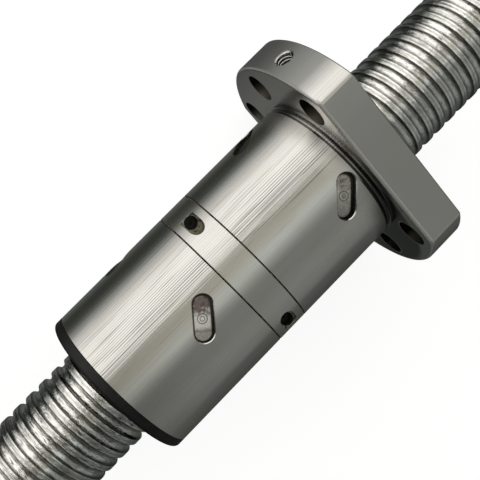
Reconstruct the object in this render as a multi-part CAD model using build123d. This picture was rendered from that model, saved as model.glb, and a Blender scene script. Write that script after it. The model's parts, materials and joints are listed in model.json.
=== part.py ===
from build123d import *
from math import asin, cos, radians, sin, sqrt
import os

# A preloaded double ball nut on its screw. The screw's axis is X, and +X points out of the
# flange. The origin is on that axis, in the flange's mounting face. The flats face +Z and -Z.
# Lengths are millimetres. Angles about X are degrees, from +Y towards +Z.

# Screw and balls
SCREW_D = 32.0
LEAD = 5.0
BALL_D = 3.175
BALL_CENTRE_RISE = 0.5              # ball centres above the screw's surface
GROOVE_RATIO = 0.52                 # groove radius over ball diameter
GROOVE_FLATS = 3                    # flats that stand for the groove's arc
SCREW_FROM = -131.0
SCREW_TO = 67.0
SCREW_CHAMFER = 1.5

# Nut bodies, spacer and end ring, one after another from the mounting face towards -X.
# A head is the length before a body's first ball circuit, a tail the length after its last.
NUT_D = 50.0
FLANGED_HEAD = 7.85
FLANGED_TAIL = 10.4
SPACER_LENGTH = 10.0
PLAIN_HEAD = 11.0
PLAIN_TAIL = 10.25
END_RING_LENGTH = 3.0
BORE_RISE = 0.5                     # bore above the screw's surface
JOINT_CHAMFER = 0.2

# Flange
FLANGE_D = 80.0
FLANGE_ACROSS = 62.0
FLANGE_LENGTH = 12.0
FLANGE_CORNER = 2.0
FLANGE_FACE_ROUND = 1.0
FLANGE_FRONT_CHAMFER = 0.4
BOLT_CIRCLE_D = 65.0
BOLT_HOLE_D = 9.0
BOLT_SPREAD = 45.0
UNDERCUT_LENGTH = 1.8
UNDERCUT_DEPTH = 0.5
OIL_PORT_ANGLE = 22.5
OIL_THREAD_D = 6.0
OIL_THREAD_PITCH = 1.0
OIL_THREAD_DEPTH = 10.0
OIL_DRILL_D = 3.0

# Return deflectors: four circuits in each nut body, a quarter turn apart
CIRCUITS = 4
SLOT_WIDTH = 5.5
SLOT_CENTRES = 7.5
SLOT_LEAN = 49.0                    # from the axis
FLANGED_RECESS = 1.5                # deflectors' tops below the body's outside
PLAIN_RECESS = 0.7
DEFLECTOR_FIT = 0.15
CHANNEL_GAP = 0.1                   # round the balls' groove radius
SLOT_MOUTH_CHAMFER = 0.25
FIRST_ANGLE = 90.0                  # of the flanged body's first circuit

# Spacer: two half rings and the two small screws that draw them together
SPACER_TURN = 80.0                  # the screws' direction
SEAT_WIDTH = 4.8
SEAT_OFFSET = 18.3
SEAT_HEIGHT = 13.0
SCREW_HOLE_D = 4.0
SCREW_HOLE_OFFSET = 19.3
HEAD_SEAT_HEIGHT = 6.0
HEAD_D = 3.8
HEAD_LENGTH = 2.0
HEAD_SOCKET_D = 1.7
SHANK_D = 2.0
SHANK_LENGTH = 10.0

# Pins that keep the two bodies from turning against each other
PIN_D = 4.0
PIN_LENGTH = 16.0

# Wipers and the flange wiper's retaining ring
RUNNING_GAP = 0.3                   # from the nut's own pieces to the screw
END_SPIGOT_LENGTH = 4.0
END_RING_ROUND = 1.0
SEAT_RISE = 5.0                     # wiper seats above the screw's surface
SEAT_FIT = 0.1
SEAT_DEPTH = 4.4
WIPER_LENGTH = 2.3
RING_GROOVE_DEPTH = 1.0
RING_GROOVE_LENGTH = 1.3
RING_GROOVE_IN = 0.6                # from the flange's outer face
RING_GAP = 0.12
RING_WIDTH = 2.0
RING_OPENING = 50.0

# How far a cutter runs past a face
OVERRUN = 1.0

# Worked out from the sizes above
SCREW_R = SCREW_D / 2
NUT_R = NUT_D / 2
GROOVE_R = GROOVE_RATIO * BALL_D
CENTRE_R = SCREW_R + BALL_CENTRE_RISE
BORE_R = SCREW_R + BORE_RISE
SEAT_R = SCREW_R + SEAT_RISE
RING_GROOVE_R = SEAT_R + RING_GROOVE_DEPTH
PIN_OFFSET = (BORE_R + NUT_R) / 2
GROOVE_HALF = sqrt(GROOVE_R ** 2 - (CENTRE_R - SCREW_R) ** 2)
RELIEF_R = CENTRE_R + GROOVE_R
CIRCUIT_STEP = LEAD * (1 + 1 / CIRCUITS)
CIRCUITS_SPAN = (CIRCUITS - 1) * CIRCUIT_STEP
FLANGED_END = -(FLANGED_HEAD + CIRCUITS_SPAN + FLANGED_TAIL)
SPACER_END = FLANGED_END - SPACER_LENGTH
PLAIN_END = SPACER_END - (PLAIN_HEAD + CIRCUITS_SPAN + PLAIN_TAIL)
RING_END = PLAIN_END - END_RING_LENGTH
DEFLECTOR_FOOT = CENTRE_R - BALL_D  # below the bore, so that the insert meets it all along


def turned(*points):
    """A solid turned about X from (x, radius) points."""
    return revolve(make_face(Polyline(*points, close=True)), Axis.X)


def ring(x0, x1, inner_r, outer_r):
    return turned((x0, inner_r), (x0, outer_r), (x1, outer_r), (x1, inner_r))


def rod(x0, x1, radius, offset=0.0, angle=0.0):
    """A cylinder along X, offset from the axis at an angle about it."""
    place = Plane(origin=(x0, offset * cos(radians(angle)), offset * sin(radians(angle))), z_dir=(1, 0, 0))
    return extrude(place * Circle(radius), x1 - x0)


def outward(x, angle, height=0.0):
    """The plane whose normal points out from the axis at an angle. Its own x runs along +X."""
    out = Vector(0, cos(radians(angle)), sin(radians(angle)))
    return Plane(origin=Vector(x, 0, 0) + out * height, x_dir=(1, 0, 0), z_dir=out)


def land_x(angle):
    """Where the middle of the screw's land lies at an angle: under the first deflector at its own."""
    return -FLANGED_HEAD + LEAD * (angle - FIRST_ANGLE) / 360


def land_angle(x):
    """The angle, from 0 to 360, at which the middle of the screw's land passes x."""
    return (FIRST_ANGLE + 360 * (x + FLANGED_HEAD) / LEAD) % 360


def circuits(first_x):
    """The place of each return deflector of one body, as (x, angle), each over the land."""
    return [(x, land_angle(x)) for x in (first_x - k * CIRCUIT_STEP for k in range(CIRCUITS))]


FLANGED_CIRCUITS = circuits(-FLANGED_HEAD)
PLAIN_CIRCUITS = circuits(SPACER_END - PLAIN_HEAD)


def helix(x, radius):
    """One turn about X, right-handed, that starts at angle 0."""
    turn = Edge.make_helix(LEAD, LEAD, radius)
    return turn.moved(Plane(origin=(x, 0, 0), x_dir=(0, 1, 0), z_dir=(1, 0, 0)).location)


def groove_section(x):
    """The groove, then the land up to the next groove, as (x, radius) points over one lead."""
    swing = asin(GROOVE_HALF / GROOVE_R)
    steps = [swing * (2 * k / GROOVE_FLATS - 1) for k in range(GROOVE_FLATS + 1)]
    middle = x + LEAD / 2
    groove = [(middle + GROOVE_R * sin(a), CENTRE_R - GROOVE_R * cos(a)) for a in steps]
    return groove + [(groove[0][0] + LEAD, SCREW_R)]


def threaded_rod(x, turns):
    """The screw's rod with its ball groove, from helical strips sewn to a closed skin."""
    section = groove_section(x)
    edges = [helix(px, pr) for px, pr in section]
    strips = [Face.make_surface_from_curves(a, b) for a, b in zip(edges, edges[1:])]
    step = Location((LEAD, 0, 0))
    skin = []
    for k in range(turns):
        skin += [strip.moved(Location((k * LEAD, 0, 0))) for strip in strips]
    start, end = section[0][0], section[-1][0]
    axis = Edge.make_line((start, 0, 0), (end, 0, 0))
    ramp = Face.make_surface_from_curves(axis, edges[0])
    wall = make_face(Polyline((start, 0), *section, (end, 0), close=True)).face()
    far = Location((turns * LEAD, 0, 0))
    return Solid(Shell(Face.sew_faces(skin + [ramp, wall, ramp.moved(far), wall.moved(far)])[0]))


def screw_shaft():
    first = land_x(0) - LEAD * (int((land_x(0) - SCREW_FROM) / LEAD) + 3)
    turns = int((SCREW_TO - first) / LEAD) + 2
    beyond = SCREW_R + LEAD
    end_r = SCREW_R - SCREW_CHAMFER
    slope = beyond - end_r
    trim = turned((SCREW_FROM, 0), (SCREW_FROM, end_r), (SCREW_FROM + slope, beyond),
                  (SCREW_TO - slope, beyond), (SCREW_TO, end_r), (SCREW_TO, 0))
    return threaded_rod(first, turns) & trim


def return_slot(x, angle):
    """The cutter of the slot through the nut's wall, as wide as the deflector and its fit."""
    outline = SlotCenterToCenter(SLOT_CENTRES, SLOT_WIDTH, rotation=SLOT_LEAN)
    return extrude(outward(x, angle, DEFLECTOR_FOOT) * outline, NUT_R - DEFLECTOR_FOOT + OVERRUN)


def with_slots(body, places):
    """The body with its return slots cut and their mouths broken."""
    for place in places:
        body -= return_slot(*place)
    for x, angle in places:
        mouth = outward(x, angle, NUT_R).origin
        near = [e for e in body.edges() if (e @ 0.5 - mouth).length < (SLOT_CENTRES + SLOT_WIDTH) / 2 + 1
                and all(abs(Vector(0, p.Y, p.Z).length - NUT_R) < 1e-3 for p in (e @ 0, e @ 0.5, e @ 1))]
        body = chamfer(near, SLOT_MOUTH_CHAMFER)
    return body


def deflector(x, angle, recess):
    """An insert that lifts the balls over the land, from one groove back to the one before."""
    outline = SlotCenterToCenter(SLOT_CENTRES, SLOT_WIDTH - 2 * DEFLECTOR_FIT, rotation=SLOT_LEAN)
    insert = extrude(outward(x, angle, DEFLECTOR_FOOT) * outline, NUT_R - DEFLECTOR_FOOT)
    insert &= rod(x - SLOT_CENTRES, x + SLOT_CENTRES, NUT_R - recess)
    crossing = outward(x, angle, SCREW_R + BALL_D / 2).rotated((0, 0, SLOT_LEAN))
    channel_plane = Plane(origin=crossing.origin, z_dir=crossing.x_dir)
    channel = extrude(channel_plane * Circle(GROOVE_R + CHANNEL_GAP), SLOT_CENTRES + SLOT_WIDTH, both=True)
    return insert - rod(x - SLOT_CENTRES, x + SLOT_CENTRES, SCREW_R + RUNNING_GAP) - channel


def raceway_room(x_from, x_to):
    """The bore's relief that holds one body's ball circuits."""
    return ring(x_from, x_to, BORE_R - OVERRUN, RELIEF_R)


def circuit_ends(places):
    reach = LEAD / 2 + BALL_D / 2 + RUNNING_GAP
    return places[-1][0] - reach, places[0][0] + reach


def pins(x_middle):
    half = PIN_LENGTH / 2
    angles = [SPACER_TURN, SPACER_TURN + 180]
    return [rod(x_middle - half, x_middle + half, PIN_D / 2, PIN_OFFSET, a) for a in angles]


PIN_X = FLANGED_END - SPACER_LENGTH / 2


def flange():
    outline = Circle(FLANGE_D / 2) & Rectangle(FLANGE_D, FLANGE_ACROSS)
    outline = fillet(outline.vertices(), FLANGE_CORNER)
    plate = extrude(Plane(origin=(0, 0, 0), x_dir=(0, 1, 0), z_dir=(1, 0, 0)) * outline, FLANGE_LENGTH)
    plate = fillet(plate.faces().sort_by(Axis.X)[0].edges(), FLANGE_FACE_ROUND)
    plate = chamfer(plate.faces().sort_by(Axis.X)[-1].edges(), FLANGE_FRONT_CHAMFER)
    for side in (0, 180):
        for spread in (-BOLT_SPREAD, 0, BOLT_SPREAD):
            plate -= rod(-OVERRUN, FLANGE_LENGTH + OVERRUN, BOLT_HOLE_D / 2, BOLT_CIRCLE_D / 2, side + spread)
    return plate


def undercut():
    """The grinding relief at the flange's root, rounded into the mounting face."""
    floor_r = NUT_R - UNDERCUT_DEPTH
    corner = UNDERCUT_DEPTH
    outline = Polyline((0, NUT_R), (-UNDERCUT_LENGTH, NUT_R), (-UNDERCUT_LENGTH, floor_r), (-corner, floor_r))
    outline += RadiusArc((-corner, floor_r), (0, NUT_R), -corner)
    return revolve(make_face(outline), Axis.X)


def oil_port():
    """The grease hole: a tapped mouth in the rim, then a drilled way to the bore."""
    tap_r = (OIL_THREAD_D - OIL_THREAD_PITCH) / 2
    rim = outward(FLANGE_LENGTH / 2, OIL_PORT_ANGLE, FLANGE_D / 2 - OIL_THREAD_DEPTH)
    tapped = extrude(rim * Circle(tap_r), OIL_THREAD_DEPTH + OVERRUN)
    mouth_plane = outward(FLANGE_LENGTH / 2, OIL_PORT_ANGLE, FLANGE_D / 2 - (OIL_THREAD_D / 2 - tap_r))
    mouth = mouth_plane * Solid.make_cone(tap_r, tap_r + OVERRUN, OVERRUN, Plane.XY)
    way_foot = BORE_R - OVERRUN
    way = extrude(outward(FLANGE_LENGTH / 2, OIL_PORT_ANGLE, way_foot) * Circle(OIL_DRILL_D / 2),
                  FLANGE_D / 2 - OIL_THREAD_DEPTH - way_foot)
    return tapped + mouth + way


def flanged_nut_body():
    c = JOINT_CHAMFER
    body = flange() + turned((FLANGE_LENGTH / 2, 0), (FLANGE_LENGTH / 2, NUT_R), (FLANGED_END + c, NUT_R),
                             (FLANGED_END, NUT_R - c), (FLANGED_END, 0))
    low, high = circuit_ends(FLANGED_CIRCUITS)
    groove_x = FLANGE_LENGTH - RING_GROOVE_IN
    body -= undercut() + oil_port()
    body -= ring(FLANGED_END - OVERRUN, FLANGE_LENGTH + OVERRUN, 0, BORE_R) + raceway_room(low, high)
    body -= ring(FLANGE_LENGTH - SEAT_DEPTH, FLANGE_LENGTH + OVERRUN, 0, SEAT_R)
    body -= ring(groove_x - RING_GROOVE_LENGTH, groove_x, SEAT_R - OVERRUN, RING_GROOVE_R)
    return with_slots(body, FLANGED_CIRCUITS) - pins(PIN_X)


def plain_nut_body():
    c = JOINT_CHAMFER
    body = turned((SPACER_END, 0), (SPACER_END, NUT_R - c), (SPACER_END - c, NUT_R), (PLAIN_END + c, NUT_R),
                  (PLAIN_END, NUT_R - c), (PLAIN_END, 0))
    body -= ring(PLAIN_END - OVERRUN, SPACER_END + OVERRUN, 0, BORE_R) + raceway_room(*circuit_ends(PLAIN_CIRCUITS))
    body -= ring(PLAIN_END - OVERRUN, PLAIN_END + END_SPIGOT_LENGTH + SEAT_FIT, 0, SEAT_R)
    return with_slots(body, PLAIN_CIRCUITS) - pins(PIN_X)


def across(offset, height):
    """A plane square to the spacer's screws, beside the axis by offset and up their direction by height."""
    up = radians(SPACER_TURN)
    y = height * cos(up) + offset * sin(up)
    z = height * sin(up) - offset * cos(up)
    return Plane(origin=(PIN_X, y, z), x_dir=(1, 0, 0), z_dir=(0, cos(up), sin(up)))


def screw_seat(side):
    """The open pocket in the ring's back, the hole down to the head's seat and the shank's hole."""
    outer = 2 * NUT_R
    middle = (SEAT_OFFSET + outer) / 2
    pocket = across(side * middle, SEAT_HEIGHT) * SlotCenterToCenter(outer - SEAT_OFFSET, SEAT_WIDTH, rotation=90)
    cut = extrude(pocket, NUT_R)
    cut += extrude(across(side * SCREW_HOLE_OFFSET, HEAD_SEAT_HEIGHT) * Circle(SCREW_HOLE_D / 2), NUT_R)
    tip = HEAD_SEAT_HEIGHT - SHANK_LENGTH
    return cut + extrude(across(side * SCREW_HOLE_OFFSET, tip) * Circle(SHANK_D / 2), SHANK_LENGTH)


def spacer_half(side):
    """One half ring: +1 is the half with the heads' seats, -1 the half with the tapped holes."""
    c = JOINT_CHAMFER
    whole = turned((FLANGED_END, BORE_R), (FLANGED_END, NUT_R - c), (FLANGED_END - c, NUT_R),
                   (SPACER_END + c, NUT_R), (SPACER_END, NUT_R - c), (SPACER_END, BORE_R))
    half = extrude(across(0, 0) * Rectangle(4 * SPACER_LENGTH, 3 * NUT_R), side * 2 * NUT_R)
    return (whole & half) - screw_seat(1) - screw_seat(-1) - pins(PIN_X)


def spacer_screw(side):
    head = extrude(across(side * SCREW_HOLE_OFFSET, HEAD_SEAT_HEIGHT) * Circle(HEAD_D / 2), HEAD_LENGTH)
    socket = across(side * SCREW_HOLE_OFFSET, HEAD_SEAT_HEIGHT + HEAD_LENGTH / 2)
    head -= extrude(socket * RegularPolygon(HEAD_SOCKET_D / 2, 6), HEAD_LENGTH)
    shank = across(side * SCREW_HOLE_OFFSET, HEAD_SEAT_HEIGHT - SHANK_LENGTH)
    return head + extrude(shank * Circle(SHANK_D / 2), SHANK_LENGTH)


def end_wiper_ring():
    """The black ring over the plain body's end, with its spigot in the counterbore."""
    inner = SCREW_R + RUNNING_GAP
    spigot_r = SEAT_R - SEAT_FIT
    body = turned((RING_END, inner), (RING_END, NUT_R), (PLAIN_END, NUT_R), (PLAIN_END, spigot_r),
                  (PLAIN_END + END_SPIGOT_LENGTH, spigot_r), (PLAIN_END + END_SPIGOT_LENGTH, inner))
    rim = body.edges().filter_by(GeomType.CIRCLE).filter_by(lambda e: abs(e.center().X - RING_END) < 1e-3)
    return fillet(rim.sort_by(lambda e: e.radius)[-1], END_RING_ROUND)


def flange_wiper():
    x = FLANGE_LENGTH - SEAT_DEPTH
    return ring(x, x + WIPER_LENGTH, SCREW_R + RUNNING_GAP, SEAT_R - SEAT_FIT)


def wiper_retaining_ring():
    """An open spring ring, free to creep round in its groove."""
    outer = RING_GROOVE_R - RING_GAP
    x = FLANGE_LENGTH - RING_GROOVE_IN - RING_GROOVE_LENGTH + RING_GAP
    whole = ring(x, x + RING_GROOVE_LENGTH - 2 * RING_GAP, outer - RING_WIDTH, outer)
    reach = 2 * outer
    half = radians(RING_OPENING / 2)
    gap = make_face(Polyline((0, 0), (reach * cos(half), reach * sin(half)),
                             (reach * cos(half), -reach * sin(half)), close=True))
    cut = extrude(Plane(origin=(0, 0, 0), x_dir=(0, -1, 0), z_dir=(1, 0, 0)) * gap, FLANGE_LENGTH + OVERRUN)
    return whole - cut


def build():
    nodes = {
        "flanged_nut_body": flanged_nut_body(),
        "plain_nut_body": plain_nut_body(),
        "spacer_seat_half": spacer_half(1),
        "spacer_tapped_half": spacer_half(-1),
        "spacer_screws": Compound([spacer_screw(1).solid(), spacer_screw(-1).solid()]),
        "coupling_pins": Compound([pin.solid() for pin in pins(PIN_X)]),
        "end_wiper_ring": end_wiper_ring(),
        "flange_wiper": flange_wiper(),
        "wiper_retaining_ring": wiper_retaining_ring(),
        "screw_shaft": screw_shaft(),
    }
    for k, place in enumerate(FLANGED_CIRCUITS, 1):
        nodes[f"flanged_deflector_{k}"] = deflector(*place, FLANGED_RECESS)
    for k, place in enumerate(PLAIN_CIRCUITS, 1):
        nodes[f"plain_deflector_{k}"] = deflector(*place, PLAIN_RECESS)
    return nodes


os.makedirs("parts", exist_ok=True)
for name, shape in build().items():
    export_step(shape, f"parts/{name}.step")
    print(name, len(shape.solids()), round(shape.volume))
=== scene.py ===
# %% [markdown]
# # A double ball nut on its screw
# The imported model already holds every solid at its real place: two steel nut bodies, the spacer
# between them, a flange, the return deflectors, wipers and the screw. This lesson dresses it. It
# gives each solid the finish of the real one, and adds what is too fine for a solid: the screw's
# ground thread at full detail, the balls, the port's thread and the marks on the deflectors.

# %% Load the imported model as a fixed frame
import json
from math import ceil, cos, floor, pi, radians, sin, sqrt

import bmesh
import bpy
from mathutils import Matrix, Vector


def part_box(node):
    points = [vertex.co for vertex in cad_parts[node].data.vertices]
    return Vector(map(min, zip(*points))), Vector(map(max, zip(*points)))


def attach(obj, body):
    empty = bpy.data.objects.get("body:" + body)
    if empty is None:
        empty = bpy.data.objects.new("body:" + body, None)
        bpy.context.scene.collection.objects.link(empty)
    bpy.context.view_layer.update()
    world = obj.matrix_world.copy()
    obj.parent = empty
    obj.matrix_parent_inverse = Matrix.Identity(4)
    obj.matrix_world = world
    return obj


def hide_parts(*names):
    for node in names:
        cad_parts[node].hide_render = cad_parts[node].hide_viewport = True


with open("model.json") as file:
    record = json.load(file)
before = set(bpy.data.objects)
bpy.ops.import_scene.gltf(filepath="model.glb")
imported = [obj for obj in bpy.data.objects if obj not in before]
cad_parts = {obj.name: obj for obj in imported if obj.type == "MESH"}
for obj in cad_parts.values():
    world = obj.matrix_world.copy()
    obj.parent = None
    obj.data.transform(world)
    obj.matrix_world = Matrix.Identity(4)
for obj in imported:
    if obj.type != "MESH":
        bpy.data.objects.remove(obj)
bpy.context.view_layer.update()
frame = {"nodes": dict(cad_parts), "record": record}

MM = 0.001

# %% [markdown]
# ## Sizes come from the frame
# The lead of the thread comes from the ratio of the screw's turn to its travel, and most ends and
# radii from the boxes of the solids. The thread's own section, with the screw's radius, and what no
# box shows, such as the bolt circle, are written down again. The axis of the screw is the X axis of
# the frame, and an angle about it starts at +Y and grows towards +Z.

# %% Sizes read from the solids
record = frame["record"]
TURN_PER_METRE = record["behaviour"]["couplings"][0]["ratio"]
LEAD = round(2 * pi / TURN_PER_METRE, 6)
SCREW_FROM, SCREW_TO = (corner[0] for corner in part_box("screw_shaft"))
NUT_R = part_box("plain_nut_body")[1][1]
FLANGED_END, FLANGE_FRONT = (corner[0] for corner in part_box("flanged_nut_body"))
SPACER_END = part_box("plain_nut_body")[1][0]
FLANGE_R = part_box("flanged_nut_body")[1][1]
FLOOR_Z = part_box("flanged_nut_body")[0][2]
SCREW_R = 16.0 * MM
BALL_R = 3.175 / 2 * MM
BALL_CENTRE_R = SCREW_R + 0.5 * MM
GROOVE_R = 1.04 * BALL_R
print("lead", LEAD, "nut radius", round(NUT_R, 5), "screw", round(SCREW_FROM, 4), round(SCREW_TO, 4))


def middle_x(node):
    low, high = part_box(node)
    return (low[0] + high[0]) / 2


FIRST_LAND_X = middle_x("flanged_deflector_1")


def land_angle(x):
    """The angle at which the land's middle passes x. It is upright at the first deflector."""
    return pi / 2 + 2 * pi * (x - FIRST_LAND_X) / LEAD


DEFLECTORS = [node for node in sorted(frame["nodes"]) if "deflector" in node]
CIRCUITS = [(node, middle_x(node), land_angle(middle_x(node))) for node in DEFLECTORS]
print(len(CIRCUITS), "ball circuits")

# %% [markdown]
# ## Shader maths as plain sums
# A mask such as `1 - stain * 0.5` takes several Math nodes when it is wired by hand. A small class
# wraps a node's output, so that a sum of outputs is written as a sum. Every other node comes from
# one method, which sets the node's options first and then its sockets. The same class serves
# Geometry Nodes, because both kinds of tree share their Math nodes.

# %% The class that wraps a socket


class Out:
    """A node's output that can be added, scaled and compared like a number."""

    def __init__(self, tree, socket):
        self.tree = tree
        self.socket = socket

    def node(self, kind, options=None, sockets=None, output=0):
        """A new node of this tree: its options first, then values or links for its sockets."""
        made = self.tree.nodes.new(kind)
        for name, value in (options or {}).items():
            if name == "stops":
                set_stops(made.color_ramp, value)
            else:
                setattr(made, name, value)
        for name, value in (sockets or {}).items():
            plug(self.tree, made.inputs[name], value)
        return Out(self.tree, made.outputs[output])

    def maths(self, operation, *terms):
        return self.node("ShaderNodeMath", {"operation": operation}, dict(enumerate(terms)))

    def __add__(self, other):
        return self.maths("ADD", self, other)

    def __sub__(self, other):
        return self.maths("SUBTRACT", self, other)

    def __rsub__(self, other):
        return self.maths("SUBTRACT", other, self)

    def __mul__(self, other):
        return self.maths("MULTIPLY", self, other)

    def __truediv__(self, other):
        return self.maths("DIVIDE", self, other)

    def __lt__(self, other):
        return self.maths("LESS_THAN", self, other)

    def __gt__(self, other):
        return self.maths("GREATER_THAN", self, other)

    __radd__ = __add__
    __rmul__ = __mul__


def plug(tree, socket, value):
    """Links an output to a socket, or sets the socket's own value."""
    if isinstance(value, Out):
        tree.links.new(value.socket, socket)
    else:
        socket.default_value = value


def set_stops(ramp, stops):
    """A colour ramp's stops, as (place, grey or colour)."""
    while len(ramp.elements) > 1:
        ramp.elements.remove(ramp.elements[-1])
    for k, (place, tint) in enumerate(stops):
        stop = ramp.elements[0] if k == 0 else ramp.elements.new(place)
        stop.position = place
        stop.color = (*tint, 1) if isinstance(tint, tuple) else (tint, tint, tint, 1)


# %% [markdown]
# ## Reading a place on the object
# Every pattern here reads Object coordinates, which are metres in the frame, so a pattern keeps its
# real scale. `part` picks one of X, Y or Z, and `band` is 1 inside a narrow strip across one of them.

# %% Small pattern helpers


def new_material(name):
    """A material, its shader node, and the place on the object as a vector output."""
    material = bpy.data.materials.new(name)
    material.use_nodes = True
    tree = material.node_tree
    place = Out(tree, tree.nodes.new("ShaderNodeTexCoord").outputs["Object"])
    return material, tree.nodes["Principled BSDF"], place


def stretched(place, scale):
    """The place scaled along X, Y and Z: a small number draws the pattern out along that axis."""
    return place.node("ShaderNodeMapping", {"vector_type": "POINT"}, {"Vector": place, "Scale": scale})


def noise(place, scale, detail=2.0, roughness=0.5):
    sockets = {"Vector": place, "Scale": scale, "Detail": detail, "Roughness": roughness}
    return place.node("ShaderNodeTexNoise", {}, sockets)


def part(place, axis):
    return place.node("ShaderNodeSeparateXYZ", {}, {0: place}, axis)


def ramp(value, *stops):
    return value.node("ShaderNodeValToRGB", {"stops": stops}, {0: value})


def blend(factor, first, second):
    """The first colour where factor is 0, and the second where it is 1."""
    options = {"data_type": "RGBA"}
    sockets = {"Factor": factor, 6: first, 7: second}
    return factor.node("ShaderNodeMix", options, sockets, 2)


def bump(height, depth, normal=None):
    sockets = {"Height": height, "Distance": depth, "Strength": 1.0}
    if normal is not None:
        sockets["Normal"] = normal
    return height.node("ShaderNodeBump", {}, sockets)


def band(value, middle, half_width):
    """1 within half_width of the middle, and 0 beyond."""
    return (value - middle).maths("ABSOLUTE", value - middle) < half_width


# %% [markdown]
# ## Ground steel
# The nut bodies were ground on their outside and lie between a bright light and a dark room, so
# their look is almost all reflection. Three things keep it from being a plain mirror: the grinding
# leaves hair-fine ridges that draw the light out along the body, the polish changes slowly from
# place to place, and oil has left a faint warm tint. The ridges are noise that is stretched along X.

# %% Colours of the ground steel, and where its features lie
STEEL = (0.62, 0.61, 0.585, 1)
WARM_STEEL = (0.60, 0.58, 0.54, 1)
SCRATCH_AND_SHADE = (0.17, 0.17, 0.158, 1)
# Near-black: oil spots and the dark seams, and also the painted shade of the bolt holes, the undercut
# and the bars towards +Y.
SHADE_AND_OIL_BLACK = (0.012, 0.012, 0.011, 1)
RECESS_GREY = (0.10, 0.095, 0.082, 1)
POCKET_GREY = (0.36, 0.335, 0.26, 1)
BOLT_HOLE_GREY = (0.22, 0.204, 0.168, 1)
RIM_GREY = (0.24, 0.242, 0.232, 1)

SEAMS_X = (FLANGED_END, SPACER_END)
SEAM_HALF = 0.24 * MM
BOLT_CIRCLE_R = 32.5 * MM
BOLT_R = 4.55 * MM
FLAT_Z = -FLOOR_Z
UNDERCUT_END_X = -2.2 * MM
LINE_PITCH = 0.66 * MM


def radial(place):
    """The distance from the screw's axis."""
    squares = part(place, 1) * part(place, 1) + part(place, 2) * part(place, 2)
    return squares.maths("SQRT", squares)


def round_the_axis(place):
    """The angle about the screw's axis, from +Y towards +Z."""
    return place.maths("ARCTAN2", part(place, 2), part(place, 1))


# %% [markdown]
# ## Painted shade in the flange's hollows
# The milled places of the flange never shine like its ground faces. The wall of a bolt hole is
# painted lit on one side only, and painted black as shade on its other side, in its depth and on the
# -Y lobe. The undercut at the flange's root holds a painted dark line on either side of a painted lit
# one, and painted shade spreads from there over the flange's face on the side away from the light.
# All of it is worked out from the place alone, so it needs no painted picture.

# %% Bolt holes and the flange's root


def bolt_holes(place, wider=0.0):
    """1 inside the flange's bolt holes, and how far along Y from the hole's own middle.

    The holes mirror about Y and Z, so one quarter tells them all.
    """
    y = part(place, 1).maths("ABSOLUTE", part(place, 1))
    z = part(place, 2).maths("ABSOLUTE", part(place, 2))
    inside, offset = 0.0, 0.0
    for angle in (0, pi / 4):
        off_y, off_z = y - BOLT_CIRCLE_R * cos(angle), z - BOLT_CIRCLE_R * sin(angle)
        near = off_y * off_y + off_z * off_z < (BOLT_R + wider) ** 2
        inside, offset = near + inside, near * off_y + offset
    return inside, offset * part(place, 1).maths("SIGN", part(place, 1))


def bolt_hole_shading(place):
    """1 inside the holes, and their wall's painted shade: black on one side, in its depth and at -Y.
    """
    holes, off_middle = bolt_holes(place)
    dark_lobe = ramp(part(place, 1) / FLANGE_R + 0.5, (0.1, 0.7), (0.4, 0.0))
    dark_side = ramp(off_middle / (2 * BOLT_R) + 0.5, (0.25, 0.0), (0.62, 0.92)) + dark_lobe
    depth = ramp(part(place, 0) / FLANGE_FRONT, (0.3, 0.0), (0.7, 1.0))
    black = dark_side.maths("MAXIMUM", dark_side, depth)
    return holes, blend(black.maths("MINIMUM", black, 1.0), BOLT_HOLE_GREY, SHADE_AND_OIL_BLACK)


def root_painted_shade(place):
    """Painted shade in the flange's undercut, round a painted lit line, spreading over its face away
    from the light.
    """
    x, towards_light = part(place, 0), part(place, 1) / NUT_R
    above_root = (radial(place) - NUT_R) / (FLANGE_R - NUT_R)
    on_face = band(x, -1.0 * MM, 1.25 * MM) * (above_root > -0.01)
    # Painted shade over the flange's face, darker on the side away from the light.
    spread = ramp(0.10 - towards_light * 0.9 - above_root * 1.5, (0.0, 0.0), (0.12, 0.93))
    beside_holes = bolt_holes(place, wider=0.35 * MM)[0]
    in_undercut = band(x, -1.1 * MM, 1.0 * MM) * (above_root < -0.01)
    lit_line = band(x, -0.75 * MM, 0.19 * MM)
    black = ramp(towards_light, (0.1, 0.92), (0.75, 0.8)) * (1 - lit_line * 0.8)
    return spread * on_face * (1 - beside_holes) + in_undercut * black


# %% [markdown]
# ## Marks of the grinding wheel, painted at the light's edge
# The wheel's own marks are painted as thin, even dark lines only where the light ends on the body,
# where they would catch it: painted shade lines. A sine of the distance round the body draws them, a
# slow noise bends their spacing, and another lets them come and go. The flange's rim and its softly
# broken edges were only turned, so they are duller.

# %% Wheel lines and the flange's rim


def wheel_lines_at_light_edge(place):
    """Even, thin dark lines along X, painted only at the edge of the light, fading in and out."""
    drift = noise(stretched(place, (7, 90, 90)), 1.0, 2.0)
    wave = (round_the_axis(place) * NUT_R / LINE_PITCH + drift * 3.0) * (2 * pi)
    towards_light = part(place, 1) / NUT_R
    caught = ramp(towards_light, (0.46, 0.0), (0.51, 1.0), (0.64, 0.9), (0.76, 0.3), (0.9, 0.1))
    fading = ramp(noise(stretched(place, (34, 300, 300)), 1.0, 1.0), (0.38, 0.15), (0.52, 1.0))
    return ramp(wave.maths("SINE", wave) * 0.5 + 0.5, (0.74, 0.0), (0.97, 1.0)) * caught * fading


def flange_rim(place, round_side):
    """The flange's rim, the broken edge beside it, and the rounded edge of the upper flat."""
    x, z, out = part(place, 0), part(place, 2), radial(place)
    low_on_side = ramp(z / FLAT_Z, (0.8, 0.92), (0.93, 0.1))
    rim = (x > 0.2 * MM) * round_side * (out > FLANGE_R - 0.2 * MM) * low_on_side
    edge = band(x, 0.3 * MM, 0.26 * MM) * (out > FLANGE_R - 0.6 * MM) * round_side
    flat_edge = band(x, 0.5 * MM, 0.46 * MM) * (z > FLAT_Z - 1.0 * MM) * (1 - edge)
    return rim, edge, flat_edge


# %% The steel of the nut bodies


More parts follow.
